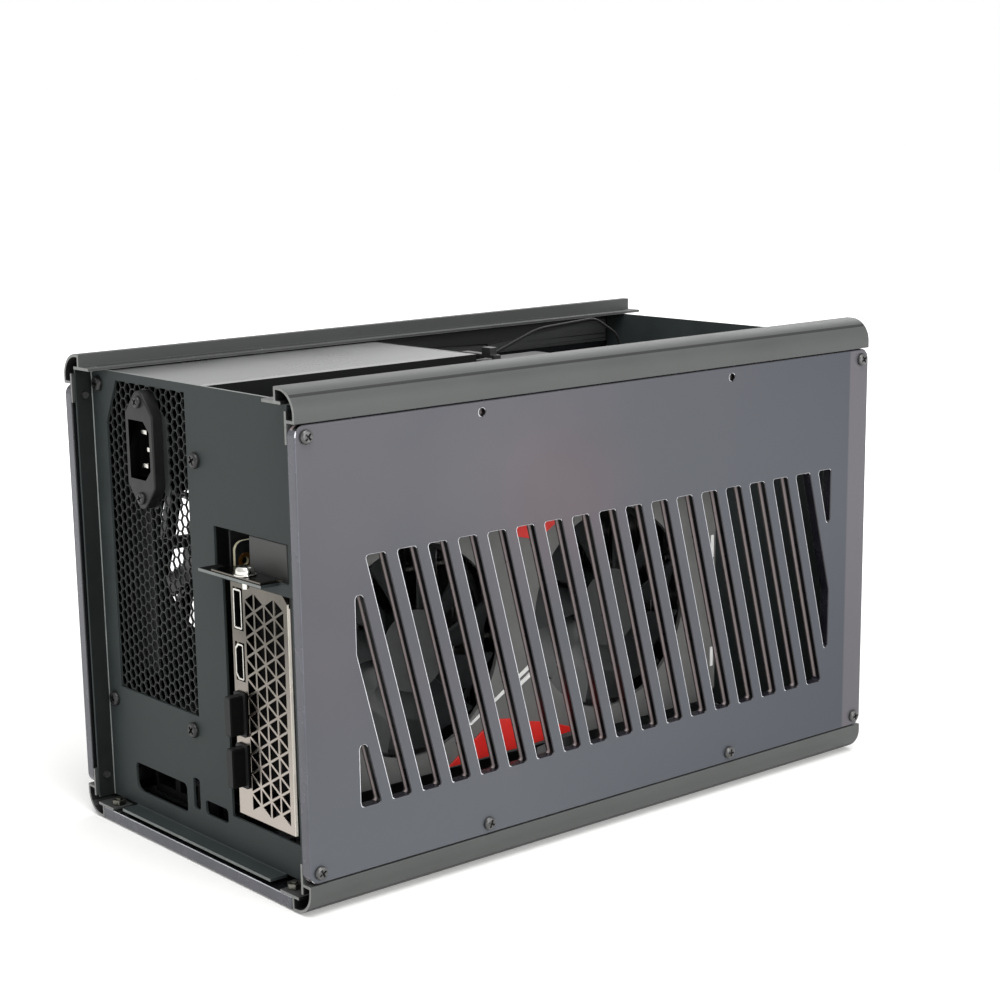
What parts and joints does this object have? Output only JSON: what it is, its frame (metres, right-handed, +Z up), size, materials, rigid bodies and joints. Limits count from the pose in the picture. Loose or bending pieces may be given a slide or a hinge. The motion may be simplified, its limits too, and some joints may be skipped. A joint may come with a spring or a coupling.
{
  "type": "external graphics card enclosure",
  "caption": "Open-topped box of rounded corner rails, slotted smoke panels and steel ends, holding a graphics card, its power supply and a dock board.",
  "frame": {"origin": "centre of the footprint on the plane the two bottom rails rest on", "axes": "+X from the inlet and card end to the plain end, +Y from the card's side panel to the power supply's side panel, +Z up"},
  "size_m": [0.318, 0.1734, 0.204],
  "materials": {
    "rail_aluminium": "dark grey satin anodised extrusion",
    "smoke_acrylic": "smoke grey glossy acrylic sheet",
    "coated_steel": "dark grey satin powder coat",
    "black_screws": "blackened steel",
    "zinc_hardware": "bright zinc plate",
    "brass": "turned brass",
    "supply_steel": "black semi-gloss coat",
    "guard_wire": "black coat",
    "black_plastic": "matt black moulding",
    "contact_metal": "nickel plate",
    "bracket_nickel": "warm grey nickel plate",
    "black_board": "black solder mask",
    "green_board": "green solder mask",
    "transformer_tape": "yellow tape and ferrite",
    "capacitor_sleeve": "dark sleeve",
    "fin_aluminium": "bare aluminium",
    "heat_pipe_nickel": "nickel-plated copper",
    "shroud_plastic": "dark grey moulding",
    "red_accent": "bright red lacquer",
    "pale_paint": "pale grey paint",
    "lead_sleeve": "black flexible sleeve"
  },
  "bodies": {
    "chassis": {"bottom_nuts": "zinc_hardware", "bottom_panel": "smoke_acrylic", "bottom_screws": "zinc_hardware", "card_backplate": "fin_aluminium", "card_board": "black_board", "card_bracket": "bracket_nickel", "card_cold_plate": "fin_aluminium", "card_fan_mounts": "black_plastic", "card_fins": "fin_aluminium", "card_heat_pipes": "heat_pipe_nickel", "card_lead": "lead_sleeve", "card_power_plug": "black_plastic", "card_power_socket": "black_plastic", "card_screw": "zinc_hardware", "card_shroud": "shroud_plastic", "card_slot": "black_plastic", "display_sockets": "contact_metal", "dock_board": "black_board", "dock_header": "black_plastic", "dock_heat_sink": "fin_aluminium", "dock_lead": "lead_sleeve", "dock_port": "black_plastic", "dock_power_plug": "black_plastic", "dock_power_socket": "black_plastic", "dock_screws": "zinc_hardware", "dock_standoffs": "brass", "dock_switch": "black_plastic", "dust_caps": "black_plastic", "inlet_pins": "contact_metal", "inlet_screws": "black_screws", "io_end_panel": "coated_steel", "lead_grommets": "black_plastic", "lead_tie": "black_plastic", "link_socket": "black_plastic", "mains_inlet": "black_plastic", "plain_end_panel": "coated_steel", "psu_board": "green_board", "psu_capacitors": "capacitor_sleeve", "psu_case": "supply_steel", "psu_cover": "supply_steel", "psu_fan_frame": "black_plastic", "psu_fan_guard": "guard_wire", "psu_heat_sinks": "fin_aluminium", "psu_screws": "black_screws", "psu_transformer": "transformer_tape", "rail_bottom_back": "rail_aluminium", "rail_bottom_front": "rail_aluminium", "rail_top_back": "rail_aluminium", "rail_top_front": "rail_aluminium", "shroud_accents": "red_accent", "shroud_stripes": "pale_paint", "side_panel_back": "smoke_acrylic", "side_panel_front": "smoke_acrylic", "side_screws_back": "black_screws", "side_screws_front": "black_screws", "thin_lead": "lead_sleeve"},
    "left_fan": {"card_fan_left": "black_plastic"},
    "right_fan": {"card_fan_right": "black_plastic"},
    "supply_fan": {"psu_fan_rotor": "black_plastic"},
    "latch": {"slot_latch": "black_plastic"}
  },
  "joints": [
    {"name": "left_fan_spin", "type": "hinge", "parent": "chassis", "child": "left_fan", "pos_m": [-0.0845, -0.0517, 0.0874], "axis": [0, -1, 0], "continuous": true},
    {"name": "right_fan_spin", "type": "hinge", "parent": "chassis", "child": "right_fan", "pos_m": [0.0242, -0.0517, 0.0874], "axis": [0, -1, 0], "continuous": true},
    {"name": "supply_fan_spin", "type": "hinge", "parent": "chassis", "child": "supply_fan", "pos_m": [-0.0788, 0.0646, 0.122], "axis": [0, 1, 0], "continuous": true},
    {"name": "latch_hinge", "type": "hinge", "parent": "chassis", "child": "latch", "pos_m": [0.005, -0.0221, 0.0172], "axis": [0, 1, 0], "range_deg": [0, 15]}
  ]
}
